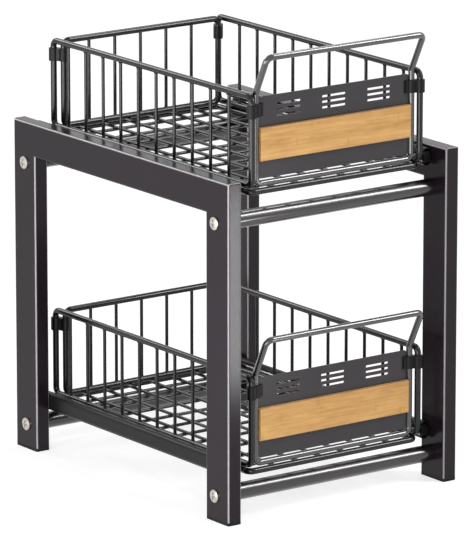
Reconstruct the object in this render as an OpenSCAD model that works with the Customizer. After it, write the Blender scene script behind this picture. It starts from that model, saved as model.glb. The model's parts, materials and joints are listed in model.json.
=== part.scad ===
// Two-tier pull-out cabinet basket.
// A frame of steel tube stands on four foot caps. Each tier has a wire basket on a pair of
// ball-bearing slides, and draws out to the front, along -Y. The origin is on the floor, in
// the middle of the whole unit, with +Z up and the front at -Y.

/* [Frame] */
// Width over the two side frames
frame_w = 264; // [240:1:320]
// Depth over the legs
frame_d = 345; // [320:1:420]
// Height of the frame
frame_h = 320; // [300:1:400]
// Width of the frame's rectangular tube
tube_w = 15; // [12:0.5:18]
// Depth of the leg tube, front to back
leg_d = 35; // [30:1:40]
// Height of the top beam's tube
beam_h = 32; // [28:1:36]
// Wall of the rectangular tube
tube_wall = 1.5; // [1:0.1:1.8]
// Outside corner radius of the rectangular tube
tube_r = 2; // [2:0.1:3]

/* [Crossbars] */
// Diameter of the round crossbars
bar_d = 16; // [14:0.5:20]
// Wall of the crossbars
bar_wall = 1.2; // [1:0.1:2]
// Front crossbars behind the front of the legs
bar_front_inset = 20.5; // [14:0.5:24]
// Rear crossbars ahead of the back of the legs
bar_rear_inset = 18.5; // [14:0.5:24]
// Height of the lower crossbars
bar_low_z = 24.5; // [20:0.5:28]
// Drop of the upper crossbars below the top of the frame
bar_drop = 39.5; // [39:0.5:60]
// Length of the threaded plug in each end of a crossbar
plug_len = 22; // [18:1:30]

/* [Frame bolts] */
// Diameter of the frame bolts
bolt_d = 6; // [5:0.5:7]
// Diameter of a bolt head
bolt_head_d = 12; // [10:0.5:14]
// Height of a bolt head
bolt_head_h = 3; // [2:0.1:4]
// Length of a bolt under its head
bolt_len = 33; // [28:1:36]
// Width of the cross recess in a bolt head
bolt_cross_w = 1.4; // [1:0.1:2]
// Length of the cross recess
bolt_cross_len = 7; // [5:0.5:8]

/* [Foot caps] */
// Height of the foot cap under the leg
foot_h = 3; // [2:0.5:6]
// Length of the foot cap's plug in the leg
foot_plug = 12; // [8:1:14]
// Wall of the foot cap's plug
foot_wall = 1.8; // [1.2:0.1:2.5]

/* [Tiers] */
// Height of the lower basket's base wire
tier_z = 42; // [41:0.5:60]
// Drop of the upper basket's base wire below the top of the frame
tier_drop = 15.5; // [15:0.5:20]

/* [Basket] */
// Diameter of the thick wire
wire_d = 6; // [5:0.1:6]
// Diameter of the thin mesh wire
mesh_d = 3.2; // [2.5:0.1:3.4]
// Bend radius of the thick wire, on its centre line
bend_r = 6; // [6:0.5:7]
// From the inside of a leg to the middle of the basket's base wire
basket_gap = 21; // [20:0.5:30]
// Base wire's front behind the front of the legs
base_front_inset = 17; // [16:0.5:30]
// Base wire's rear ahead of the back of the legs
base_rear_inset = 13; // [12:0.5:16]
// Height of the panels' bottom wires over the base wire
rail_h = 7; // [7:0.1:8]
// Height of the panels' rims over the base wire
rim_h = 89; // [88:0.5:92]
// Number of floor wires that run front to back
floor_long_bars = 6; // [3:1:7]
// Spacing of the floor wires that run front to back
floor_long_pitch = 26.5; // [16:0.5:27]
// Number of floor wires that run across
floor_cross_bars = 10; // [4:1:10]
// Spacing of the floor wires that run across
floor_cross_pitch = 30; // [20:0.5:31]
// Floor wires above or below the middle of the base wire
mesh_lift = 1.1; // [0.8:0.1:1.5]

/* [Side panels] */
// Front post of a side panel behind the front of the legs
side_front_inset = 13.5; // [12:0.5:14]
// Rear post of a side panel ahead of the back of the legs
side_rear_inset = 15.5; // [15:0.5:18]
// Number of thin uprights in a side panel
side_bars = 10; // [5:1:10]
// Spacing of the uprights in a side panel
side_pitch = 28.5; // [24:0.5:29]
// First upright from its post; the left and right panels are one part turned round
side_margin = 24.7; // [20:0.1:30]

/* [Rear panel] */
// Rear panel's posts ahead of the side panels' rear posts
rear_step_y = 8; // [7:0.5:10]
// Rear panel's posts inside the side panels' rear posts
rear_step_x = 6; // [6:0.5:10]
// Number of thin uprights in the rear panel
rear_bars = 5; // [3:1:5]
// Spacing of the uprights in the rear panel
rear_pitch = 29.8; // [20:0.1:30]
// Uprights of the rear panel behind the middle of its frame
rear_bars_back = 2; // [0:0.5:4]

/* [Front loop] */
// Front loop's posts inside the side panels' front posts
loop_step = 7; // [6.5:0.5:10]
// Front loop behind the front of the legs
loop_inset = 17.5; // [17:0.5:18]
// Height of the bend where the handle starts, over the base wire
handle_from = 90.6; // [89:0.5:96]
// Length of the leaning part of the loop
handle_len = 40.4; // [30:0.5:50]
// Forward lean of the handle
handle_lean = 26.5; // [15:0.5:35]

/* [Front plate] */
// Thickness of the front plate
plate_t = 1.2; // [0.8:0.1:2]
// Bottom edge of the plate over the base wire
plate_low = 11.3; // [10.5:0.1:12]
// Top edge of the plate over the base wire
plate_top = 87.3; // [82:0.1:90]
// Length of a slot
slot_len = 27; // [20:1:36]
// Height of a slot
slot_h = 2.2; // [1.6:0.1:3]
// Slots side by side
slot_cols = 3; // [1:1:3]
// Slots one above the other
slot_rows = 3; // [1:1:3]
// Spacing of the slots across
slot_pitch_x = 51.2; // [45:0.1:54]
// Spacing of the slots in height
slot_pitch_z = 5.2; // [4:0.1:6]
// First row of slots below the plate's top edge
slot_drop = 8.8; // [6:0.1:10]

/* [Bamboo strip] */
// Height of the strip
strip_h = 31; // [24:0.5:34]
// Thickness of the strip
strip_t = 4; // [3.5:0.1:8]
// Bottom edge of the strip over the base wire
strip_low = 28; // [24:0.5:30]
// Edge rounding of the strip
strip_r = 0.8; // [0.4:0.1:1.5]
// Diameter of the strip's screws
strip_screw_d = 3; // [2.5:0.1:4]
// Strip's screws from each end of the strip
strip_screw_inset = 20; // [10:1:40]
// Height of the strip's screw heads
strip_head_h = 1.2; // [0.8:0.1:1.5]
// Wood left over the point of a screw
strip_skin = 1; // [0.8:0.1:1.5]

/* [Corner clips] */
// Height of a clip
clip_h = 12; // [8:0.5:14]
// Height of a clip's middle over the base wire
clip_z = 75.5; // [50:0.5:75.5]
// Wall of a clip
clip_wall = 1.6; // [1.2:0.1:2]
// Length of the tab that holds the front plate's edge
clip_tab = 3; // [2:0.5:6]

/* [Slides] */
// Height of the outer channel
slide_h = 17; // [16:0.5:18]
// Depth of the outer channel, from the leg inwards
slide_w = 10; // [9.8:0.1:11]
// Sheet thickness of the slide members
slide_t = 1.1; // [1:0.1:1.2]
// Corner radius of the outer channel
slide_r = 4.5; // [4:0.1:4.6]
// Middle of the slide over the base wire
slide_rise = 4.5; // [4:0.5:5]
// Front of the outer channel behind the front of the legs
slide_front_inset = 23; // [20:0.5:26]
// Rear end of the outer channel ahead of the back of the legs
slide_rear_inset = 12.5; // [10:0.5:20]
// Height of the inner member
inner_h = 9; // [8.6:0.1:9.2]
// Width of the mouth of the outer channel
mouth_h = 10.6; // [10.4:0.1:11]
// Inner member shorter than the outer channel
inner_short = 9.5; // [8:0.5:12]
// Back of the inner member off the channel's web
inner_off = 2; // [1.8:0.1:2.2]
// Face of the inner member proud of the channel
inner_proud = 0.6; // [0.4:0.1:0.8]
// Corner radius of the inner member
inner_r = 1.5; // [1.2:0.1:1.8]
// Travel of a drawer
travel = 200; // [150:5:200]

/* [Ball cages] */
// Diameter of a ball
ball_d = 3.2; // [3:0.1:3.3]
// Height of a ball's centre over the middle of the slide
ball_v = 6; // [5.9:0.05:6.1]
// Balls in a race
race_balls = 6; // [3:1:6]
// Cage beyond its end balls
cage_end = 8; // [5:0.5:10]
// Play of the cage between the members at full travel
cage_play = 9; // [5:1:12]
// Sheet thickness of the cage
cage_t = 0.6; // [0.4:0.1:0.8]

/* [Slide brackets] */
// Sheet thickness of a bracket
bracket_t = 1.2; // [1:0.1:1.6]
// Length of a bracket along the slide
bracket_len = 20; // [12:1:30]
// Front bracket behind the front of the inner member
bracket_front = 4; // [3:1:20]
// Rear bracket ahead of the rear of the inner member
bracket_rear = 24; // [20:1:60]

/* [End blocks] */
// Thickness of the end block ahead of the inner member
block_d = 3; // [2:0.5:4]
// Length of the end block's tongue in the inner member
tongue_len = 8; // [5:1:12]

/* [Small screws] */
// Diameter of the slide screws
screw_d = 3.4; // [3:0.1:4]
// Diameter of the small screws' heads
screw_head_d = 5.4; // [5:0.1:6]
// Height of the small screws' heads
screw_head_h = 0.7; // [0.5:0.1:0.8]
// Slide screws from the ends of the outer channel
screw_inset = 5; // [4:0.5:5]
// Length of a slide screw under its head
screw_len = 7; // [5:0.5:9]

/* [Clearances] */
// Gap around a plug, cap or pin in its seat
fit_gap = 0.05; // [0.02:0.01:0.1]
// Gap around a bolt in the legs
bolt_gap = 0.2; // [0.1:0.05:0.4]
// Gap between a moving piece and its neighbour
run_gap = 0.3; // [0.2:0.05:0.4]

/* [Hidden] */
$fn = 48;

paint = [0.27, 0.26, 0.28];
nickel = [0.86, 0.84, 0.8];
steel = [0.7, 0.71, 0.73];
black = [0.09, 0.09, 0.1];
bamboo = [0.88, 0.7, 0.48];

// Sides of the unit, and the two tiers
left = -1;
right = 1;
lower = tier_z;
upper = frame_h - tier_drop;

// The handle stands out ahead of the legs, so the frame lies half of that behind the origin
handle_out = handle_len * sin(handle_lean) + wire_d / 2 - loop_inset;
front_y = -frame_d / 2 + handle_out / 2;
rear_y = frame_d / 2 + handle_out / 2;
leg_in = frame_w / 2 - tube_w;
bars_y = [front_y + bar_front_inset, rear_y - bar_rear_inset];
bars_z = [bar_low_z, frame_h - bar_drop];
plug_d = bar_d - 2 * bar_wall - 2 * fit_gap;
thread_d = bolt_d + 2 * fit_gap;

half_w = leg_in - basket_gap;
basket_w = 2 * half_w;
base_front = front_y + base_front_inset;
base_rear = rear_y - base_rear_inset;
side_front = front_y + side_front_inset;
side_rear = rear_y - side_rear_inset;
rear_w = basket_w - 2 * rear_step_x;
rear_panel_y = side_rear - rear_step_y;
loop_w = basket_w - 2 * loop_step;
loop_y = front_y + loop_inset;
wire_r = wire_d / 2;

plate_w = loop_w - wire_d - 2 * fit_gap;
plate_r = bend_r - wire_r;
strip_w = plate_w - 2 * run_gap;
strip_screws_x = [for (s = [-1, 1]) s * (strip_w / 2 - strip_screw_inset)];
strip_screws_z = [for (s = [-1, 1]) strip_low + strip_h / 2 + s * strip_h / 4];
strip_bite = strip_t - strip_skin;

slide_front = front_y + slide_front_inset;
slide_rear = rear_y - slide_rear_inset;
slide_len = slide_rear - slide_front;
inner_len = slide_len - inner_short;
screws_y = [slide_front + screw_inset, slide_rear - screw_inset];
stop_y = slide_front + inner_len + run_gap;
// Across the slide, distances run inwards from the leg
inner_back = slide_t + inner_off;
inner_face = slide_w + inner_proud;
race_r = ball_d / 2 + fit_gap;
ball_u = inner_face / 2;
cage_u = slide_t + screw_head_h + fit_gap;
// The cage moves half as far as the drawer, and fits what the members still share when it is out
cage_y = slide_front + inner_len / 2;
cage_len = inner_len - travel - cage_play;
ball_pitch = (cage_len - 2 * cage_end) / (race_balls - 1);
cut = 1;

// ---------- shared shapes ----------

module rounded_rect(w, h, r) {
    square([w - 2 * r, h], center = true);
    square([w, h - 2 * r], center = true);
    for (x = [-1, 1], y = [-1, 1])
        translate([x * (w / 2 - r), y * (h / 2 - r)]) circle(r = r);
}

module tube_section(w, d) {
    difference() {
        rounded_rect(w, d, tube_r);
        rounded_rect(w - 2 * tube_wall, d - 2 * tube_wall, tube_r - tube_wall);
    }
}

// Rod along X from x1 to x2
module rod_x(x1, x2, d) {
    translate([x1, 0, 0]) rotate([0, 90, 0]) cylinder(d = d, h = x2 - x1);
}

// Rod along Y from y1 to y2
module rod_y(y1, y2, d) {
    translate([0, y1, 0]) rotate([-90, 0, 0]) cylinder(d = d, h = y2 - y1);
}

// Quarter bend of thick wire in the XZ plane
module wire_corner(x, z, quarter) {
    translate([x, 0, z]) rotate([90, 0, 0]) rotate([0, 0, 90 * quarter])
        rotate_extrude(angle = 90) translate([bend_r, 0]) circle(d = wire_d);
}

// Thick wire bent to a U, open at z = from and closed at z = h
module wire_u(w, h, from = 0) {
    for (s = [-1, 1]) {
        translate([s * w / 2, 0, from]) cylinder(d = wire_d, h = h - bend_r - from);
        wire_corner(s * (w / 2 - bend_r), h - bend_r, s > 0 ? 0 : 1);
    }
    translate([0, 0, h]) rod_x(bend_r - w / 2, w / 2 - bend_r, wire_d);
}

// Thick wire bent to a closed frame, from z = 0 to z = h
module wire_frame(w, h) {
    for (s = [-1, 1]) {
        translate([s * w / 2, 0, bend_r]) cylinder(d = wire_d, h = h - 2 * bend_r);
        wire_corner(s * (w / 2 - bend_r), h - bend_r, s > 0 ? 0 : 1);
        wire_corner(s * (w / 2 - bend_r), bend_r, s > 0 ? 3 : 2);
    }
    for (z = [0, h]) translate([0, 0, z]) rod_x(bend_r - w / 2, w / 2 - bend_r, wire_d);
}

// Places of n things along a line, spaced evenly about its middle
function spread(n, pitch) = [for (i = [0 : n - 1]) (i - (n - 1) / 2) * pitch];

// Panel of thick wire with thin uprights at the places xs, set back from the frame's middle
module wire_panel(w, xs, back = 0) {
    color(paint) translate([0, 0, rail_h]) union() {
        wire_frame(w, rim_h - rail_h);
        for (x = xs) translate([x, back, 0]) cylinder(d = mesh_d, h = rim_h - rail_h);
    }
}

// Profile in the plane across the slide, drawn out along Y; side turns it to the left or right
module along_slide(side, y, len) {
    translate([side * leg_in, y + len, 0]) mirror([side > 0 ? 1 : 0, 0, 0])
        rotate([90, 0, 0]) linear_extrude(len) children();
}

// Pin along X that points into the leg, with its head inside
module head_pin(d, len, head_d, head_h) {
    rotate([0, 90, 0]) cylinder(d = d, h = len);
    translate([-head_h, 0, 0]) rotate([0, 90, 0]) cylinder(d = head_d, h = head_h);
}

// ---------- frame ----------

// Space over (keep = 1) or under (keep = -1) the slant where a leg and a beam meet
module mitre(side, end, keep) {
    y_out = end < 0 ? front_y : rear_y;
    z_at = function(inwards) frame_h - inwards * beam_h / leg_d;
    z_far = frame_h + keep * (beam_h + cut);
    translate([side * (frame_w / 2 - tube_w / 2), y_out, 0]) rotate([90, 0, 90])
        linear_extrude(tube_w + 2 * cut, center = true)
            polygon([[end * cut, z_at(-cut)], [-end * (leg_d + cut), z_at(leg_d + cut)],
                [-end * (leg_d + cut), z_far], [end * cut, z_far]]);
}

module slide_screw_holes(side, z) {
    for (y = screws_y)
        translate([side * (leg_in + tube_wall / 2), y, z + slide_rise])
            rod_x(-tube_wall, tube_wall, screw_d + 2 * fit_gap);
}

module leg(side, end) {
    y_mid = end < 0 ? front_y + leg_d / 2 : rear_y - leg_d / 2;
    color(paint) difference() {
        translate([side * (frame_w / 2 - tube_w / 2), y_mid, foot_h])
            linear_extrude(frame_h - foot_h) tube_section(tube_w, leg_d);
        mitre(side, end, 1);
        for (z = bars_z)
            translate([side * frame_w / 2, bars_y[end < 0 ? 0 : 1], z])
                rod_x(-tube_w - cut, tube_w + cut, bolt_d + 2 * bolt_gap);
        slide_screw_holes(side, lower);
    }
}

module top_beam(side) {
    color(paint) difference() {
        translate([side * (frame_w / 2 - tube_w / 2), rear_y, frame_h - beam_h / 2])
            rotate([90, 0, 0]) linear_extrude(frame_d) tube_section(tube_w, beam_h);
        mitre(side, -1, -1);
        mitre(side, 1, -1);
        slide_screw_holes(side, upper);
    }
}

module crossbar(y, z) {
    color(paint) translate([0, y, z]) difference() {
        rod_x(-leg_in, leg_in, bar_d);
        rod_x(-leg_in - cut, leg_in + cut, bar_d - 2 * bar_wall);
    }
}

module crossbar_plugs() {
    color(steel) for (side = [left, right], y = bars_y, z = bars_z)
        translate([side * (leg_in - plug_len / 2), y, z]) difference() {
            rod_x(-plug_len / 2, plug_len / 2, plug_d);
            rod_x(-plug_len, plug_len, thread_d);
        }
}

module frame_bolts() {
    color(nickel) for (side = [left, right], y = bars_y, z = bars_z)
        translate([side * frame_w / 2, y, z]) rotate([0, 90 * side, 0]) difference() {
            union() {
                translate([0, 0, -bolt_len]) cylinder(d = bolt_d, h = bolt_len + bolt_head_h / 2);
                rotate_extrude() intersection() {
                    translate([0, bolt_head_h / 2 - bolt_head_d])
                        circle(r = bolt_head_d + bolt_head_h / 2);
                    square([bolt_head_d / 2, bolt_head_h]);
                }
            }
            for (turn = [0, 90])
                rotate([0, 0, turn]) translate([-bolt_cross_len / 2, -bolt_cross_w / 2, bolt_head_h / 2])
                    cube([bolt_cross_len, bolt_cross_w, bolt_head_h]);
        }
}

module foot(side, end) {
    y_mid = end < 0 ? front_y + leg_d / 2 : rear_y - leg_d / 2;
    plug_w = tube_w - 2 * tube_wall - 2 * fit_gap;
    plug_y = leg_d - 2 * tube_wall - 2 * fit_gap;
    plug_r = tube_r - tube_wall;
    color(black) translate([side * (frame_w / 2 - tube_w / 2), y_mid, 0]) difference() {
        union() {
            linear_extrude(foot_h) rounded_rect(tube_w, leg_d, tube_r);
            linear_extrude(foot_h + foot_plug) rounded_rect(plug_w, plug_y, plug_r);
        }
        translate([0, 0, foot_h]) linear_extrude(foot_plug + cut)
            rounded_rect(plug_w - 2 * foot_wall, plug_y - 2 * foot_wall, plug_r);
    }
}

// ---------- slides ----------

module outer_profile() {
    difference() {
        translate([slide_w / 2, 0]) rounded_rect(slide_w, slide_h, slide_r);
        translate([slide_w / 2, 0])
            rounded_rect(slide_w - 2 * slide_t, slide_h - 2 * slide_t, slide_r - slide_t);
        translate([slide_w / 2, -mouth_h / 2]) square([slide_w, mouth_h]);
        for (s = [-1, 1]) translate([ball_u, s * ball_v]) circle(r = race_r);
    }
}

module outer_slide(side, z) {
    color(black) translate([0, 0, z + slide_rise]) difference() {
        union() {
            along_slide(side, slide_front, slide_len) outer_profile();
            along_slide(side, stop_y, slide_t)
                translate([slide_t / 2, -inner_h / 2]) square([slide_w - 2 * slide_t, inner_h]);
        }
        for (y = screws_y)
            translate([side * leg_in, y, 0])
                rod_x(-2 * slide_t, 2 * slide_t, screw_d + 2 * fit_gap);
    }
}

module slide_screws() {
    color(steel) for (side = [left, right], z = [lower, upper], y = screws_y)
        translate([side * (leg_in - slide_t), y, z + slide_rise]) mirror([side > 0 ? 0 : 1, 0, 0])
            head_pin(screw_d, screw_len, screw_head_d, screw_head_h);
}

module ball_places(side, z) {
    for (y = spread(race_balls, ball_pitch), s = [-1, 1])
        translate([side * (leg_in - ball_u), cage_y + y, z + slide_rise + s * ball_v]) children();
}

// Bent sheet round the inner member, with its corners clear of the channel's round ones
module cage_profile() {
    cage_h = 2 * ball_v + cage_t;
    margin = slide_t + run_gap;
    intersection() {
        translate([slide_w / 2, 0])
            rounded_rect(slide_w - 2 * margin, slide_h - 2 * margin, slide_r - margin);
        union() {
            translate([cage_u, -cage_h / 2]) square([cage_t, cage_h]);
            for (s = [-1, 1])
                translate([cage_u, s * ball_v - cage_t / 2])
                    square([ball_u + ball_d / 2 + cage_t - cage_u, cage_t]);
        }
    }
}

module ball_cage(side, z) {
    color(steel) difference() {
        translate([0, 0, z + slide_rise])
            along_slide(side, cage_y - cage_len / 2, cage_len) cage_profile();
        ball_places(side, z) translate([0, 0, -ball_d / 2]) cylinder(r = race_r, h = ball_d);
    }
}

module balls(side, z) {
    color(steel) ball_places(side, z) sphere(d = ball_d);
}

// Channel that is open to the leg, with a groove for the balls in each flange
module inner_profile() {
    w = inner_face - inner_back + inner_r;
    difference() {
        translate([inner_face - w / 2, 0]) rounded_rect(w, inner_h, inner_r);
        translate([0, -inner_h / 2 - cut]) square([inner_back, inner_h + 2 * cut]);
        translate([0, slide_t - inner_h / 2]) square([inner_face - slide_t, inner_h - 2 * slide_t]);
        for (s = [-1, 1]) translate([ball_u, s * ball_v]) circle(r = race_r);
    }
}

module inner_slide(side, z) {
    color(steel) translate([0, 0, z + slide_rise])
        along_slide(side, slide_front, inner_len) inner_profile();
}

// Black cap on the front end of an inner member, with a tongue inside it
module end_block(side, z) {
    w = inner_face - inner_back;
    tongue_w = w - slide_t - fit_gap;
    tongue_h = inner_h - 2 * slide_t - 2 * fit_gap;
    color(black) translate([0, 0, z + slide_rise]) {
        along_slide(side, slide_front - block_d, block_d)
            translate([inner_back + w / 2, 0]) rounded_rect(w, inner_h, inner_r);
        along_slide(side, slide_front - block_d, block_d + tongue_len)
            translate([inner_back, -tongue_h / 2]) square([tongue_w, tongue_h]);
    }
}

// Bent strip that joins an inner member to the base wire and the side panel's bottom wire
module slide_brackets(z) {
    face = leg_in - inner_face;
    web = half_w + wire_r - run_gap;
    foot_z = slide_rise - inner_h / 2;
    color(paint) for (side = [left, right], y = [slide_front + bracket_front,
        slide_front + inner_len - bracket_rear])
        translate([0, y, z]) mirror([side > 0 ? 0 : 1, 0, 0]) difference() {
            rotate([90, 0, 0]) translate([0, 0, -bracket_len]) linear_extrude(bracket_len) {
                translate([face - bracket_t, foot_z]) square([bracket_t, inner_h]);
                translate([web, foot_z]) square([face - web, bracket_t]);
                translate([web, -wire_r / 2]) square([bracket_t, rail_h + wire_r]);
            }
            for (h = [0, rail_h])
                translate([half_w, 0, h]) rod_y(-cut, bracket_len + cut, wire_d + 2 * fit_gap);
        }
}

// ---------- basket ----------

module basket_base(z) {
    base_d = base_rear - base_front;
    color(paint) translate([0, base_front, z]) union() {
        rotate([-90, 0, 0]) wire_frame(basket_w, base_d);
        for (x = spread(floor_long_bars, floor_long_pitch))
            translate([x, 0, mesh_lift]) rod_y(0, base_d, mesh_d);
        for (y = spread(floor_cross_bars, floor_cross_pitch))
            translate([0, base_d / 2 + y, -mesh_lift]) rod_x(-half_w, half_w, mesh_d);
    }
}

// The left panel counts its uprights from the rear, and the right one from the front
module side_panel(side, z) {
    w = side_rear - side_front;
    translate([side * half_w, (side_front + side_rear) / 2, z]) rotate([0, 0, 90 * side])
        wire_panel(w, [for (i = [0 : side_bars - 1]) side_margin + i * side_pitch - w / 2]);
}

module rear_panel(z) {
    translate([0, rear_panel_y, z]) wire_panel(rear_w, spread(rear_bars, rear_pitch), rear_bars_back);
}

// Space over (1) or under (-1) the plane that halves the loop's forward bend
module bend_space(side) {
    rotate([handle_lean / 2, 0, 0])
        translate([-loop_w, -wire_d, side > 0 ? 0 : -2 * wire_d])
            cube([2 * loop_w, 2 * wire_d, 2 * wire_d]);
}

// One closed wire: upright beside the plate, then leaning forward as the handle
module front_loop(z) {
    color(paint) translate([0, loop_y, z + handle_from]) union() {
        difference() {
            rotate([180, 0, 0]) wire_u(loop_w, handle_from - rail_h, -wire_d);
            bend_space(1);
        }
        difference() {
            rotate([handle_lean, 0, 0]) wire_u(loop_w, handle_len, -wire_d);
            bend_space(-1);
        }
    }
}

module slot() {
    straight = slot_len - slot_h;
    square([straight, slot_h], center = true);
    for (s = [-1, 1]) translate([s * straight / 2, 0]) circle(d = slot_h);
}

module front_plate(z) {
    color(paint) translate([0, loop_y + plate_t, z]) difference() {
        rotate([90, 0, 0]) linear_extrude(plate_t) difference() {
            translate([0, (plate_low + plate_top) / 2]) rounded_rect(plate_w, plate_top - plate_low, plate_r);
            for (x = spread(slot_cols, slot_pitch_x), row = [0 : slot_rows - 1])
                translate([x, plate_top - slot_drop - row * slot_pitch_z]) slot();
        }
        for (x = strip_screws_x, h = strip_screws_z)
            translate([x, 0, h]) rod_y(-plate_t - cut, cut, strip_screw_d + 2 * fit_gap);
    }
}

module bamboo_strip(z) {
    color(bamboo) translate([0, loop_y, z]) difference() {
        translate([-strip_w / 2, -strip_t / 2, strip_low + strip_h / 2]) rotate([90, 0, 90])
            linear_extrude(strip_w) rounded_rect(strip_t, strip_h, strip_r);
        for (x = strip_screws_x, h = strip_screws_z)
            translate([x, 0, h]) rod_y(-strip_bite, cut, strip_screw_d + 2 * fit_gap);
    }
}

module strip_screws(z) {
    color(steel) for (x = strip_screws_x, h = strip_screws_z)
        translate([x, loop_y + plate_t, z + h]) rotate([0, 0, -90])
            head_pin(strip_screw_d, plate_t + strip_bite - fit_gap, 2 * strip_screw_d, strip_head_h);
}

// Two snap rings round a side post and its neighbour, joined by a web
module clip_profile(dx, dy) {
    ring_r = wire_r + fit_gap;
    span = norm([dx, dy]);
    turn = atan2(dy, dx);
    difference() {
        union() {
            circle(r = ring_r + clip_wall);
            translate([dx, dy]) circle(r = ring_r + clip_wall);
            rotate([0, 0, turn]) translate([0, -wire_r]) square([span, wire_d]);
        }
        circle(r = ring_r);
        translate([dx, dy]) circle(r = ring_r);
    }
}

// At the front the clip also grips the plate's edge, with a tab before it
module front_clip_profile() {
    dx = -loop_step;
    dy = loop_y - side_front;
    tab_x = dx - wire_r - clip_wall - clip_tab;
    difference() {
        union() {
            clip_profile(dx, dy);
            translate([tab_x, dy - fit_gap - clip_wall])
                square([clip_tab + clip_wall, clip_wall]);
        }
        translate([tab_x - cut, dy - fit_gap])
            square([dx - wire_r / 2 - tab_x, plate_t + 2 * fit_gap]);
        translate([dx, dy]) circle(r = wire_r + fit_gap);
    }
}

module corner_clips(z) {
    color(black) translate([0, 0, z + clip_z - clip_h / 2]) for (s = [-1, 1]) mirror([s > 0 ? 0 : 1, 0, 0]) {
        translate([half_w, side_front, 0]) linear_extrude(clip_h) front_clip_profile();
        translate([half_w, side_rear, 0]) linear_extrude(clip_h)
            clip_profile(-rear_step_x, -rear_step_y);
    }
}

leg(left, -1);  // left_front_leg
leg(right, -1);  // right_front_leg
leg(left, 1);  // left_rear_leg
leg(right, 1);  // right_rear_leg
top_beam(left);  // left_top_beam
top_beam(right);  // right_top_beam
crossbar(bars_y[0], bars_z[1]);  // front_upper_crossbar
crossbar(bars_y[0], bars_z[0]);  // front_lower_crossbar
crossbar(bars_y[1], bars_z[1]);  // rear_upper_crossbar
crossbar(bars_y[1], bars_z[0]);  // rear_lower_crossbar
crossbar_plugs();
frame_bolts();
foot(left, -1);  // left_front_foot
foot(right, -1);  // right_front_foot
foot(left, 1);  // left_rear_foot
foot(right, 1);  // right_rear_foot
outer_slide(left, lower);  // lower_left_outer_slide
outer_slide(right, lower);  // lower_right_outer_slide
outer_slide(left, upper);  // upper_left_outer_slide
outer_slide(right, upper);  // upper_right_outer_slide
slide_screws();
ball_cage(left, lower);  // lower_left_ball_cage
ball_cage(right, lower);  // lower_right_ball_cage
ball_cage(left, upper);  // upper_left_ball_cage
ball_cage(right, upper);  // upper_right_ball_cage
balls(left, lower);  // lower_left_balls
balls(right, lower);  // lower_right_balls
balls(left, upper);  // upper_left_balls
balls(right, upper);  // upper_right_balls
inner_slide(left, lower);  // lower_left_inner_slide
inner_slide(right, lower);  // lower_right_inner_slide
inner_slide(left, upper);  // upper_left_inner_slide
inner_slide(right, upper);  // upper_right_inner_slide
end_block(left, lower);  // lower_left_end_block
end_block(right, lower);  // lower_right_end_block
end_block(left, upper);  // upper_left_end_block
end_block(right, upper);  // upper_right_end_block
slide_brackets(lower);  // lower_slide_brackets
slide_brackets(upper);  // upper_slide_brackets
basket_base(lower);  // lower_basket_base
basket_base(upper);  // upper_basket_base
side_panel(left, lower);  // lower_left_side_panel
side_panel(right, lower);  // lower_right_side_panel
side_panel(left, upper);  // upper_left_side_panel
side_panel(right, upper);  // upper_right_side_panel
rear_panel(lower);  // lower_rear_panel
rear_panel(upper);  // upper_rear_panel
front_loop(lower);  // lower_front_loop
front_loop(upper);  // upper_front_loop
front_plate(lower);  // lower_front_plate
front_plate(upper);  // upper_front_plate
bamboo_strip(lower);  // lower_bamboo_strip
bamboo_strip(upper);  // upper_bamboo_strip
strip_screws(lower);  // lower_strip_screws
strip_screws(upper);  // upper_strip_screws
corner_clips(lower);  // lower_corner_clips
corner_clips(upper);  // upper_corner_clips
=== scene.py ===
import json
import math

import bmesh
import bpy
from mathutils import Matrix, Vector
from mathutils.geometry import tessellate_polygon


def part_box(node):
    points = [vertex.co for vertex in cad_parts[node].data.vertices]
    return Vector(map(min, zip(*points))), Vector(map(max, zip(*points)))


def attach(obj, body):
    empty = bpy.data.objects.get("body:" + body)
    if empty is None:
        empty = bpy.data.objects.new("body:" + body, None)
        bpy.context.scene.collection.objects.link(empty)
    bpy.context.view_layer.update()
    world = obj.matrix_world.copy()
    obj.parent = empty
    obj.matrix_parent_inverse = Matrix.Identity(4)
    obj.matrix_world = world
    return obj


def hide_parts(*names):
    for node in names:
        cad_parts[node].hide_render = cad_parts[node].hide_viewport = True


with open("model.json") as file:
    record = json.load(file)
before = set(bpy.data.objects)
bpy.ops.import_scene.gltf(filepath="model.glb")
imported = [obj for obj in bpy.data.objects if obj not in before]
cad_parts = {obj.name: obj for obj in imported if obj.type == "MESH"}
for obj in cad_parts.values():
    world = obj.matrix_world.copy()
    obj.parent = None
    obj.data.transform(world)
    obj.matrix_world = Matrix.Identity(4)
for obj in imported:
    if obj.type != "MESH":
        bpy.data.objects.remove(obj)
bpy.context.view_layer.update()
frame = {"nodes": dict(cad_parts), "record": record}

# ---------- camera, stage and lamps, in metres ----------

# The camera that fits the photograph
CAMERA_AT = Vector((-3.0958, -4.24275, 1.4934))
CAMERA_LOOK = Vector((0.57215, 0.78381, -0.24144))
CAMERA_LENS = 382.4
CAMERA_SENSOR = 36.0
CAMERA_REACH = 100.0

# White surroundings: the floor's own glow rises to white between two distances
WHITE = (1.0, 1.0, 1.0)
FLOOR_SIZE = 40.0
FLOOR_TONE = 0.5
FLOOR_ROUGHNESS = 0.9
FLOOR_GLOW = 0.7
FLOOR_FADE = (1.2, 3.0)
WORLD_TONE = 0.2

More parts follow.
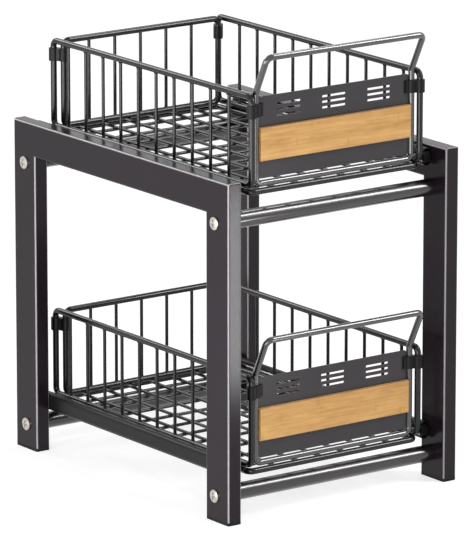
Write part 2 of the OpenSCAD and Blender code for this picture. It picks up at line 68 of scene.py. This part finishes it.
# Lamps: the way from the target to each of them, and its size and radiance
OBJECT_MIDDLE = (0.0, 0.0, 0.2)
OPEN_BEAM = 180.0
SOFTBOXES = {
    "key_softbox": {
        "towards": (0.57, -0.55, 0.60), "distance": 2.0,
        "size": (0.32, 1.1), "radiance": 19.0},
    "top_softbox": {
        "towards": (0.45, 0.25, 0.85), "distance": 2.2,
        "size": (0.6, 0.4), "radiance": 9.0},
    "rear_softbox": {
        "towards": (-0.24, 0.78, 0.57), "distance": 2.2,
        "size": (0.8, 0.5), "radiance": 7.0},
    "left_softbox": {
        "towards": (-1.0, -0.05, 0.1), "distance": 1.1,
        "size": (0.22, 0.6), "radiance": 14.0},
    "camera_softbox": {
        "towards": (-0.75, -0.66, 0.0), "distance": 0.9,
        "size": (0.8, 0.34), "radiance": 4.5, "target": (0.0, 0.0, 0.18)},
    # Stands where the camera sees it mirrored in the front of the left front leg
    "front_softbox": {
        "towards": (0.572, -0.784, -0.241), "distance": 0.5,
        "size": (0.06, 0.20), "radiance": 0.38, "target": (-0.125, -0.17, 0.225), "beam": 24.0},
}

# ---------- colours and grain ----------

# Colours as linear values
TUBE_GREY = (0.013, 0.0085, 0.012)
# Painted highlight: a pale colour for the tubes' corners that don't face down, in place of the
# lamps' reflections there
TUBE_PAINTED_HIGHLIGHT = (0.50, 0.465, 0.495)
WIRE_GREY = (0.009, 0.008, 0.009)
PLATE_GREY = (0.045, 0.041, 0.045)
BRACKET_GREY = (0.014, 0.0135, 0.0145)
CHANNEL_BLACK = (0.008, 0.0078, 0.0082)
PLASTIC_BLACK = (0.0045, 0.0044, 0.0046)
NICKEL = (0.60, 0.565, 0.51)
ZINC = (0.55, 0.56, 0.58)
BAMBOO_LIGHT = (0.82, 0.475, 0.165)
BAMBOO_DARK = (0.56, 0.28, 0.082)
BAMBOO_KNUCKLE = (0.42, 0.20, 0.065)
BAMBOO_EDGE = (0.20, 0.095, 0.035)

UNIT = (0.0, 1.0)
UNSTRETCHED = (1.0, 1.0, 1.0)
DRAWN_ALONG_Y = (1.0, 0.03, 1.0)
FINE_BUMP = 0.0002

# The largest part of a normal, and its upward part, over which a corner's mask rises; the mask
# places the tubes' painted highlight and the bamboo's darker corners
CORNER_RANGE = (0.99, 0.80)
UPWARD_RANGE = (-0.35, -0.10)

# Paint: the shades of its colour, the swing of its roughness, and its noises
PAINT_COAT_ROUGHNESS = 0.12
PAINT_SHADES = (0.88, 1.12)
PAINT_SWING = (-0.02, 0.02)
PAINT_BUMP = 0.02
PAINT_TONE = {"scale": 45.0}
PAINT_GLOSS = {"scale": 420.0, "detail": 2.0}
PAINT_GRAIN = {"scale": 1800.0, "detail": 2.0}

# Moulded plastic
PLASTIC_IOR = 1.28
PLASTIC_SHADES = (1.0, 1.5)
PLASTIC_SWING = (-0.06, 0.06)
PLASTIC_BUMP = 0.2
PLASTIC_TONE = {"scale": 90.0}
PLASTIC_GRAIN = {"scale": 2600.0, "detail": 1.0}

# Plated metal
METAL_SHADES = (0.82, 1.0)
METAL_SWING = (-0.05, 0.07)
METAL_BUMP = 0.08
METAL_LINES = {"scale": 260.0, "detail": 4.0}

# Bamboo: fibres and mottle make the grain, which runs in lamellas crossed by knuckles
BAMBOO_COAT = {"IOR": 1.45, "Coat Weight": 0.15, "Coat Roughness": 0.3}
BAMBOO_ROUGHNESS = (0.52, 0.38)
BAMBOO_BUMP = 0.15
BAMBOO_BUMP_DEPTH = 0.0003
BAMBOO_WAVE = {"scale": 9.0, "detail": 1.0}
BAMBOO_FIBRES = {"scale": 420.0, "detail": 6.0, "stretch": (0.05, 1.0, 1.0)}
BAMBOO_MOTTLE = {"scale": 150.0, "detail": 4.0, "stretch": (0.3, 1.0, 1.0)}
FIBRE_SHARE = 0.5
GRAIN_RANGE = (0.32, 0.66)
LAMELLA_H = 0.0078
LAMELLA_WAVE = 0.0016
LAMELLA_SWING = 0.12
KNUCKLE_PITCH = 0.16
KNUCKLE_W = 0.0022
KNUCKLE_WAVE = 0.004
KNUCKLE_DEPTH = 0.25

# ---------- sizes of the detail pieces ----------

# Thick wires, and the counts and pitches of the thin ones
THICK_R = 0.003
FLOOR_LONG = (6, 0.0265)
FLOOR_CROSS = (10, 0.030)
FLOOR_LIFT = 0.0011
SIDE_BARS = (10, 0.0285)
SIDE_MARGIN = 0.0247
REAR_BARS = (5, 0.0298)
REAR_BACK = 0.002

# Weld beads: half their sizes along X, Y and Z
CROSSING_BEAD = (0.0021, 0.0021, 0.0013)
LONG_END_BEAD = (0.0023, 0.0009, 0.0017)
CROSS_END_BEAD = (0.0009, 0.0023, 0.0017)
SIDE_BEAD = (0.0022, 0.0023, 0.0009)
REAR_BEAD = (0.0023, 0.0018, 0.0010)
REAR_BEAD_INSET = 1.75 * THICK_R

# Corner welds: a rippled rod, partly sunk into the tube and thinner at both tips
WELD_R = 0.0010
WELD_SUNK = 0.0006
WELD_SIDES = 16
WELD_RINGS = 40
WELD_RIPPLE = 0.06
WELD_WAVES = 40.0
WELD_TIP = 0.4
WELD_TAPER = 12.0

# Small screws: the radius and length of the shank, and the radius and height of the head
SLIDE_SCREW = {"shank": (0.0017, 0.007), "head": (0.0027, 0.0007)}
STRIP_SCREW = {"shank": (0.0015, 0.00415), "head": (0.0030, 0.0012)}
SCREW_SIDES = 24
SLIDE_SCREW_INSET = 0.005
SLIDE_SHEET = 0.0011

# A screw head's profile and cross recess, as shares of its radius and height
HEAD_PROFILE = ((1.0, 0.0), (1.0, 0.55), (0.93, 0.85), (0.80, 1.0))
RECESS_ARM = 0.55
RECESS_HALF_W = 0.13
RECESS_FLOOR = 0.4
RECESS_TAPER = 0.8


# ---------- node helpers ----------

def feed(tree, node, inputs):
    """Feeds a node's inputs, by name or number, with sockets, colours or plain values."""
    for key, value in inputs.items():
        socket = node.inputs[key]
        if isinstance(value, bpy.types.NodeSocket):
            tree.links.new(value, socket)
        elif socket.type == "RGBA":
            socket.default_value = (*value, 1.0)
        else:
            socket.default_value = value


def add_node(tree, kind, inputs):
    """A shader node with its inputs fed."""
    node = tree.nodes.new(kind)
    feed(tree, node, inputs)
    return node


def new_material(name, inputs):
    """A node material, its tree, and its principled shader with some inputs fed."""
    material = bpy.data.materials.new(name)
    material.use_nodes = True
    tree = material.node_tree
    shader = tree.nodes["Principled BSDF"]
    feed(tree, shader, inputs)
    return material, tree, shader


def add_noise(tree, scale, detail=3.0, stretch=UNSTRETCHED):
    """Noise over the object's own coordinates; an axis with a small stretch gets long streaks."""
    coords = tree.nodes.new("ShaderNodeTexCoord")
    mapping = add_node(tree, "ShaderNodeMapping", {
        "Vector": coords.outputs["Object"], "Scale": stretch})
    noise = add_node(tree, "ShaderNodeTexNoise", {
        "Vector": mapping.outputs["Vector"], "Scale": scale, "Detail": detail})
    return noise.outputs["Fac"]


def math_node(tree, operation, *values):
    """The result of an operation on sockets or numbers."""
    node = tree.nodes.new("ShaderNodeMath")
    node.operation = operation
    feed(tree, node, dict(enumerate(values)))
    return node.outputs["Value"]


def map_range(tree, value, target, source=UNIT, interpolation="LINEAR"):
    """The value, taken from the source range to the target range and kept inside it."""
    node = tree.nodes.new("ShaderNodeMapRange")
    node.interpolation_type = interpolation
    feed(tree, node, {
        "Value": value,
        "From Min": source[0], "From Max": source[1],
        "To Min": target[0], "To Max": target[1]})
    return node.outputs["Result"]


def mix_colors(tree, factor, low, high):
    """A colour between low and high by the factor."""
    node = tree.nodes.new("ShaderNodeMix")
    node.data_type = "RGBA"
    feed(tree, node, {"Factor": factor, "A": low, "B": high})
    return node.outputs["Result"]


def corner_mask(tree):
    """1 on rounded corners that don't face down and 0 on flat faces, from the surface normal; it
    places the painted highlight on the tubes' corners.
    """
    coords = tree.nodes.new("ShaderNodeTexCoord")
    normal = add_node(tree, "ShaderNodeSeparateXYZ", {"Vector": coords.outputs["Normal"]})
    x, y, z = (math_node(tree, "ABSOLUTE", normal.outputs[axis]) for axis in "XYZ")
    largest = math_node(tree, "MAXIMUM", math_node(tree, "MAXIMUM", x, y), z)
    rounded = map_range(tree, largest, UNIT, source=CORNER_RANGE)
    upward = map_range(tree, normal.outputs["Z"], UNIT, source=UPWARD_RANGE)
    return math_node(tree, "MULTIPLY", rounded, upward)


def dress_shader(tree, shader, color, roughness, height, strength, depth=FINE_BUMP):
    """Feeds a shader its colour, its roughness and its bumps."""
    bump = add_node(tree, "ShaderNodeBump", {
        "Height": height, "Strength": strength, "Distance": depth})
    feed(tree, shader, {
        "Base Color": color, "Roughness": roughness, "Normal": bump.outputs["Normal"]})


def shades(color, factors):
    """A darker and a lighter shade of a colour."""
    return [tuple(factor * channel for channel in color) for factor in factors]


def around(middle, swing):
    """A range about a middle value."""
    return middle + swing[0], middle + swing[1]


# ---------- materials ----------

def paint(name, color, roughness, ior=1.36, coat=0.0, painted_highlight=None):
    """Satin powder coat with a fine grain and uneven gloss, and a painted highlight on a tube's
    corners that don't face down when one is given.
    """
    material, tree, shader = new_material(name, {
        "IOR": ior, "Coat Weight": coat, "Coat Roughness": PAINT_COAT_ROUGHNESS})
    tone = mix_colors(tree, add_noise(tree, **PAINT_TONE), *shades(color, PAINT_SHADES))
    # Painted highlight: corners that don't face down take a pale colour in place of the lamps'
    # reflections
    if painted_highlight:
        tone = mix_colors(tree, corner_mask(tree), tone, painted_highlight)
    gloss = map_range(tree, add_noise(tree, **PAINT_GLOSS), around(roughness, PAINT_SWING))
    dress_shader(tree, shader, tone, gloss, add_noise(tree, **PAINT_GRAIN), PAINT_BUMP)
    return material


def moulded(name, color, roughness):
    """Moulded plastic with a fine spark-eroded grain."""
    material, tree, shader = new_material(name, {"IOR": PLASTIC_IOR})
    patches = add_noise(tree, **PLASTIC_TONE)
    tone = mix_colors(tree, patches, *shades(color, PLASTIC_SHADES))
    gloss = map_range(tree, patches, around(roughness, PLASTIC_SWING))
    dress_shader(tree, shader, tone, gloss, add_noise(tree, **PLASTIC_GRAIN), PLASTIC_BUMP)
    return material


def bare_metal(name, color, roughness, stretch=UNSTRETCHED):
    """Plated metal with faint brushing along one axis."""
    material, tree, shader = new_material(name, {"Metallic": 1.0})
    lines = add_noise(tree, **METAL_LINES, stretch=stretch)
    tone = mix_colors(tree, lines, *shades(color, METAL_SHADES))
    gloss = map_range(tree, lines, around(roughness, METAL_SWING))
    dress_shader(tree, shader, tone, gloss, lines, METAL_BUMP)
    return material


def bamboo(name):
    """Laminated bamboo: straight fibres along X, in lamellas with their own tone and knuckles."""
    material, tree, shader = new_material(name, BAMBOO_COAT)
    coords = tree.nodes.new("ShaderNodeTexCoord")
    place = add_node(tree, "ShaderNodeSeparateXYZ", {"Vector": coords.outputs["Object"]})
    wave = add_noise(tree, **BAMBOO_WAVE)

    # A random number for each lamella
    height = math_node(tree, "MULTIPLY_ADD", wave, LAMELLA_WAVE, place.outputs["Z"])
    lamella = math_node(tree, "FLOOR", math_node(tree, "DIVIDE", height, LAMELLA_H))
    own = tree.nodes.new("ShaderNodeTexWhiteNoise")
    own.noise_dimensions = "1D"
    feed(tree, own, {"W": lamella})

    # The grain, lighter or darker by lamella
    fibres = add_noise(tree, **BAMBOO_FIBRES)
    mottle = math_node(tree, "MULTIPLY", add_noise(tree, **BAMBOO_MOTTLE), 1.0 - FIBRE_SHARE)
    grain = math_node(tree, "MULTIPLY_ADD", fibres, FIBRE_SHARE, mottle)
    centred = math_node(tree, "SUBTRACT", grain, LAMELLA_SWING / 2)
    tone = math_node(tree, "MULTIPLY_ADD", own.outputs["Value"], LAMELLA_SWING, centred)
    steep = map_range(tree, tone, UNIT, source=GRAIN_RANGE)
    wood = mix_colors(tree, steep, BAMBOO_DARK, BAMBOO_LIGHT)

    # Knuckles, at other places in each lamella, and darker rounded corners that don't face down
    along = math_node(
        tree, "MULTIPLY_ADD", own.outputs["Value"], KNUCKLE_PITCH, place.outputs["X"])
    bent = math_node(tree, "MULTIPLY_ADD", wave, KNUCKLE_WAVE, along)
    from_knuckle = math_node(tree, "PINGPONG", bent, KNUCKLE_PITCH / 2)
    knuckle = map_range(tree, from_knuckle, (KNUCKLE_DEPTH, 0.0),
                        source=(0.0, KNUCKLE_W), interpolation="SMOOTHSTEP")
    wood = mix_colors(tree, knuckle, wood, BAMBOO_KNUCKLE)
    wood = mix_colors(tree, corner_mask(tree), wood, BAMBOO_EDGE)

    gloss = map_range(tree, fibres, BAMBOO_ROUGHNESS)
    dress_shader(tree, shader, wood, gloss, fibres, BAMBOO_BUMP, depth=BAMBOO_BUMP_DEPTH)
    return material


def slot_materials():
    """One material for each slot of the record."""
    return {
        "tube_paint": paint(
            "tube_satin_paint", TUBE_GREY, roughness=0.20, ior=1.30, painted_highlight=TUBE_PAINTED_HIGHLIGHT),
        "bar_paint": paint("bar_satin_paint", TUBE_GREY, roughness=0.30, coat=1.0),
        "wire_paint": paint(
            "wire_satin_paint", WIRE_GREY, roughness=0.22, ior=1.30, coat=0.30),
        "plate_paint": paint("plate_satin_paint", PLATE_GREY, roughness=0.40),
        "bracket_paint": paint("bracket_satin_paint", BRACKET_GREY, roughness=0.36, ior=1.29),
        "channel_black": paint("channel_black_coat", CHANNEL_BLACK, roughness=0.36, ior=1.29),
        "plug_steel": bare_metal("plug_turned_steel", ZINC, roughness=0.35),
        "bolt_nickel": bare_metal("bolt_nickel_plate", NICKEL, roughness=0.28),
        "slide_steel": bare_metal(
            "slide_zinc_plate", ZINC, roughness=0.34, stretch=DRAWN_ALONG_Y),
        "cage_steel": bare_metal(
            "cage_zinc_plate", ZINC, roughness=0.36, stretch=DRAWN_ALONG_Y),
        "ball_steel": bare_metal("ball_polished_steel", ZINC, roughness=0.12),
        "small_screw_steel": bare_metal("small_screw_zinc", ZINC, roughness=0.32),
        "foot_plastic": moulded("foot_black_plastic", PLASTIC_BLACK, roughness=0.5),
        "block_plastic": moulded("block_black_plastic", PLASTIC_BLACK, roughness=0.45),
        "clip_plastic": moulded("clip_black_plastic", PLASTIC_BLACK, roughness=0.38),
        "bamboo": bamboo("bamboo_strip_wood"),
    }


def dress_cad_nodes(materials):
    """Gives every CAD node the material of its slot, and the front loops a glossier paint."""
    loop_paint = paint("loop_gloss_paint", WIRE_GREY, roughness=0.24, ior=1.60, coat=1.0)
    for part in frame["record"]["subparts"]:
        is_loop = part["node"].endswith("_front_loop")
        material = loop_paint if is_loop else materials[part["material_slot"]]
        for slot in frame["nodes"][part["node"]].material_slots:
            slot.material = material


# ---------- detail pieces ----------

def spaced(count, pitch):
    """Places of things along a line, evenly about its middle."""
    return [(i - (count - 1) / 2) * pitch for i in range(count)]


def circle(sides):
    """Points of a unit circle."""
    turns = (2 * math.pi * k / sides for k in range(sides))
    return [(math.cos(turn), math.sin(turn)) for turn in turns]


def bridge(mesh_data, rings, smooth=False):
    """Joins each ring of vertices to the next with faces."""
    for one, two in zip(rings, rings[1:]):
        for k in range(len(one)):
            following = (k + 1) % len(one)
            face = mesh_data.faces.new((one[k], one[following], two[following], two[k]))
            face.smooth = smooth


def add_piece(name, mesh_data, body, material):
    """Turns a bmesh into a piece that rides on a body."""
    mesh = bpy.data.meshes.new(name)
    bmesh.ops.recalc_face_normals(mesh_data, faces=mesh_data.faces)
    mesh_data.to_mesh(mesh)
    mesh_data.free()
    mesh.materials.append(material)
    piece = bpy.data.objects.new(name, mesh)
    bpy.context.scene.collection.objects.link(piece)
    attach(piece, body)
    return piece


def add_bead(mesh_data, at, radii):
    """A small smooth weld bead."""
    place = Matrix.Translation(at) @ Matrix.Diagonal((*radii, 1.0))
    made = bmesh.ops.create_icosphere(mesh_data, subdivisions=2, radius=1.0, matrix=place)
    for vert in made["verts"]:
        for face in vert.link_faces:
            face.smooth = True


def floor_beads(mesh_data, tier):
    """Beads where the floor's thin wires cross, and where they meet the base wire."""
    low, high = (Vector(corner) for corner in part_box(f"{tier}_basket_base"))
    middle = (low + high) / 2
    seat_x = high.x - 2 * THICK_R
    seat_y = high.y - 2 * THICK_R - middle.y
    for x in spaced(*FLOOR_LONG):
        for y in spaced(*FLOOR_CROSS):
            add_bead(mesh_data, (x, middle.y + y, middle.z), CROSSING_BEAD)
        for end in (-1, 1):
            at = (x, middle.y + end * seat_y, middle.z + FLOOR_LIFT)
            add_bead(mesh_data, at, LONG_END_BEAD)
    for y in spaced(*FLOOR_CROSS):
        for end in (-1, 1):
            at = (end * seat_x, middle.y + y, middle.z - FLOOR_LIFT)
            add_bead(mesh_data, at, CROSS_END_BEAD)


def side_beads(mesh_data, tier, side):
    """Beads at both ends of a side panel's uprights."""
    low, high = (Vector(corner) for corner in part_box(f"{tier}_{side}_side_panel"))
    start, step = (low.y + THICK_R, 1) if side == "right" else (high.y - THICK_R, -1)
    count, pitch = SIDE_BARS
    for i in range(count):
        y = start + step * (SIDE_MARGIN + i * pitch)
        for z in (low.z + 2 * THICK_R, high.z - 2 * THICK_R):
            add_bead(mesh_data, ((low.x + high.x) / 2, y, z), SIDE_BEAD)


def rear_beads(mesh_data, tier):
    """Beads at both ends of the rear panel's uprights."""
    low, high = (Vector(corner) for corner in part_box(f"{tier}_rear_panel"))
    for x in spaced(*REAR_BARS):
        for z in (low.z + REAR_BEAD_INSET, high.z - REAR_BEAD_INSET):
            add_bead(mesh_data, (x, low.y + THICK_R + REAR_BACK, z), REAR_BEAD)


def add_weld_beads(tier, material):
    """All the welds of a basket, as one piece."""
    mesh_data = bmesh.new()
    floor_beads(mesh_data, tier)
    side_beads(mesh_data, tier, "left")
    side_beads(mesh_data, tier, "right")
    rear_beads(mesh_data, tier)
    add_piece(f"{tier}_weld_beads", mesh_data, f"{tier}_drawer", material)


def add_corner_weld(side, end, material):
    """Rounded weld along the end edge where a leg meets its beam."""
    low, high = (Vector(corner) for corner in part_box(f"{side}_{end}_leg"))
    y = low.y + WELD_SUNK if end == "front" else high.y - WELD_SUNK
    z = high.z - WELD_SUNK
    first, last = low.x + WELD_R, high.x - WELD_R
    mesh_data = bmesh.new()
    rings = []
    for i in range(WELD_RINGS + 1):
        share = i / WELD_RINGS
        x = first + share * (last - first)
        ripple = 1.0 - WELD_RIPPLE + WELD_RIPPLE * math.sin(WELD_WAVES * share)
        taper = min(1.0, WELD_TIP + WELD_TAPER * min(share, 1.0 - share))
        swell = WELD_R * ripple * taper
        rings.append([mesh_data.verts.new((x, y + swell * out, z + swell * up))
                      for out, up in circle(WELD_SIDES)])
    bridge(mesh_data, rings, smooth=True)
    mesh_data.faces.new(rings[0])
    mesh_data.faces.new(rings[-1])
    add_piece(f"{side}_{end}_corner_weld", mesh_data, "frame", material)


def add_screw(mesh_data, place, shank, head):
    """Pan-head screw with a cross recess: its head seats at z = 0 and its shank points down."""
    shank_r, shank_len = shank
    head_r, head_h = head
    profile = [(shank_r, -shank_len), (shank_r, 0.0)]
    profile += [(r * head_r, z * head_h) for r, z in HEAD_PROFILE]
    rings = [[mesh_data.verts.new(place @ Vector((r * x, r * y, z)))
              for x, y in circle(SCREW_SIDES)] for r, z in profile]
    bridge(mesh_data, rings)
    mesh_data.faces.new(rings[0])

    arm, half = RECESS_ARM * head_r, RECESS_HALF_W * head_r
    corners = [Vector(xy) for xy in ((arm, -half), (arm, half), (half, half))]
    quarters = [Matrix.Rotation(quarter * math.pi / 2, 2) for quarter in range(4)]
    cross = [quarter @ corner for quarter in quarters for corner in corners]
    mouth = [mesh_data.verts.new(place @ Vector((*xy, head_h))) for xy in cross]
    depth = [mesh_data.verts.new(place @ Vector((*(RECESS_TAPER * xy), RECESS_FLOOR * head_h)))
             for xy in cross]
    bridge(mesh_data, [mouth, depth])
    mesh_data.faces.new(depth)

    # The flat top, between its rim and the mouth of the recess
    top_r = profile[-1][0]
    rim = [Vector((top_r * x, top_r * y, 0.0)) for x, y in circle(SCREW_SIDES)]
    hole = [Vector((*xy, 0.0)) for xy in cross]
    flat = rings[-1] + mouth
    for triangle in tessellate_polygon([rim, hole]):
        mesh_data.faces.new([flat[i] for i in triangle])


def add_slide_screws(material):
    """Screws that hold the outer slides, with their heads on the channel's web."""
    mesh_data = bmesh.new()
    for tier in ("lower", "upper"):
        for side, sign in (("left", -1), ("right", 1)):
            low, high = (Vector(corner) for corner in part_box(f"{tier}_{side}_outer_slide"))
            seat_x = high.x - SLIDE_SHEET if sign > 0 else low.x + SLIDE_SHEET
            turn = Matrix.Rotation(-sign * math.pi / 2, 4, "Y")
            for y in (low.y + SLIDE_SCREW_INSET, high.y - SLIDE_SCREW_INSET):
                at = Matrix.Translation((seat_x, y, (low.z + high.z) / 2))
                add_screw(mesh_data, at @ turn, **SLIDE_SCREW)
    piece = add_piece("slide_cross_screws", mesh_data, "frame", material)
    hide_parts("slide_screws")


def add_strip_screws(tier, material):
    """Screws through the front plate into the bamboo, with their heads behind the plate."""
    low, high = (Vector(corner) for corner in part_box(f"{tier}_strip_screws"))
    head_r, head_h = STRIP_SCREW["head"]
    mesh_data = bmesh.new()
    turn = Matrix.Rotation(-math.pi / 2, 4, "X")
    for x in (low.x + head_r, high.x - head_r):
        for z in (low.z + head_r, high.z - head_r):
            at = Matrix.Translation((x, high.y - head_h, z))
            add_screw(mesh_data, at @ turn, **STRIP_SCREW)
    piece = add_piece(f"{tier}_strip_cross_screws", mesh_data, f"{tier}_drawer",
                      material)
    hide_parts(f"{tier}_strip_screws")


def add_details(materials):
    """Every piece that the scene adds to the CAD nodes."""
    for tier in ("lower", "upper"):
        add_weld_beads(tier, materials["wire_paint"])
        add_strip_screws(tier, materials["small_screw_steel"])
    for side in ("left", "right"):
        for end in ("front", "rear"):
            add_corner_weld(side, end, materials["tube_paint"])
    add_slide_screws(materials["small_screw_steel"])


# ---------- stage, lights and camera ----------

def background_rays(tree):
    """1 for rays that show the background: from the camera, in a reflection or through glass."""
    path = tree.nodes.new("ShaderNodeLightPath")
    seen = math_node(tree, "MAXIMUM", path.outputs["Is Camera Ray"], path.outputs["Is Glossy Ray"])
    return math_node(tree, "MAXIMUM", seen, path.outputs["Is Transmission Ray"])


def add_floor():
    """Pale floor that reads white as a background and keeps the object's soft shadow."""
    material, tree, shader = new_material("pale_floor", {
        "Base Color": (FLOOR_TONE,) * 3, "Roughness": FLOOR_ROUGHNESS})
    coords = tree.nodes.new("ShaderNodeTexCoord")
    away = tree.nodes.new("ShaderNodeVectorMath")
    away.operation = "LENGTH"
    feed(tree, away, {0: coords.outputs["Object"]})
    strength = map_range(tree, away.outputs["Value"], (FLOOR_GLOW, 1.0), source=FLOOR_FADE)
    glow = add_node(tree, "ShaderNodeEmission", {"Color": WHITE, "Strength": strength})
    lift = add_node(tree, "ShaderNodeAddShader", {
        0: shader.outputs["BSDF"], 1: glow.outputs["Emission"]})
    choose = add_node(tree, "ShaderNodeMixShader", {
        "Fac": background_rays(tree), 1: shader.outputs["BSDF"], 2: lift.outputs["Shader"]})
    feed(tree, tree.nodes["Material Output"], {"Surface": choose.outputs["Shader"]})
    bpy.ops.mesh.primitive_plane_add(size=FLOOR_SIZE)
    floor = bpy.context.object
    floor.name = "floor"
    floor.data.materials.append(material)


def add_world():
    """Even pale surroundings that read white as a background."""
    world = bpy.data.worlds.new("studio")
    world.use_nodes = True
    tree = world.node_tree
    strength = map_range(tree, background_rays(tree), (WORLD_TONE, 1.0))
    feed(tree, tree.nodes["Background"], {"Color": WHITE, "Strength": strength})
    bpy.context.scene.world = world


def add_softbox(name, towards, distance, size, radiance, target=OBJECT_MIDDLE, beam=OPEN_BEAM):
    """Rectangular lamp at a distance from the target in a direction, facing it."""
    lamp = bpy.data.lights.new(name, "AREA")
    lamp.shape = "RECTANGLE"
    lamp.size, lamp.size_y = size
    lamp.spread = math.radians(beam)
    lamp.energy = radiance * math.pi * size[0] * size[1]
    way = Vector(towards).normalized()
    lamp_object = bpy.data.objects.new(name, lamp)
    lamp_object.location = Vector(target) + distance * way
    lamp_object.rotation_euler = (-way).to_track_quat("-Z", "Y").to_euler()
    lamp_object.visible_camera = False
    bpy.context.scene.collection.objects.link(lamp_object)


def add_camera():
    """The photograph's camera."""
    camera = bpy.data.cameras.new("camera")
    camera.lens = CAMERA_LENS
    camera.sensor_width = CAMERA_SENSOR
    camera.clip_end = CAMERA_REACH
    camera_object = bpy.data.objects.new("camera", camera)
    camera_object.location = CAMERA_AT
    camera_object.rotation_euler = CAMERA_LOOK.to_track_quat("-Z", "Y").to_euler()
    bpy.context.scene.collection.objects.link(camera_object)
    bpy.context.scene.camera = camera_object


bpy.context.scene.view_settings.view_transform = "Standard"
materials = slot_materials()
dress_cad_nodes(materials)
add_details(materials)
add_floor()
add_world()
for name, lamp in SOFTBOXES.items():
    add_softbox(name, **lamp)
add_camera()
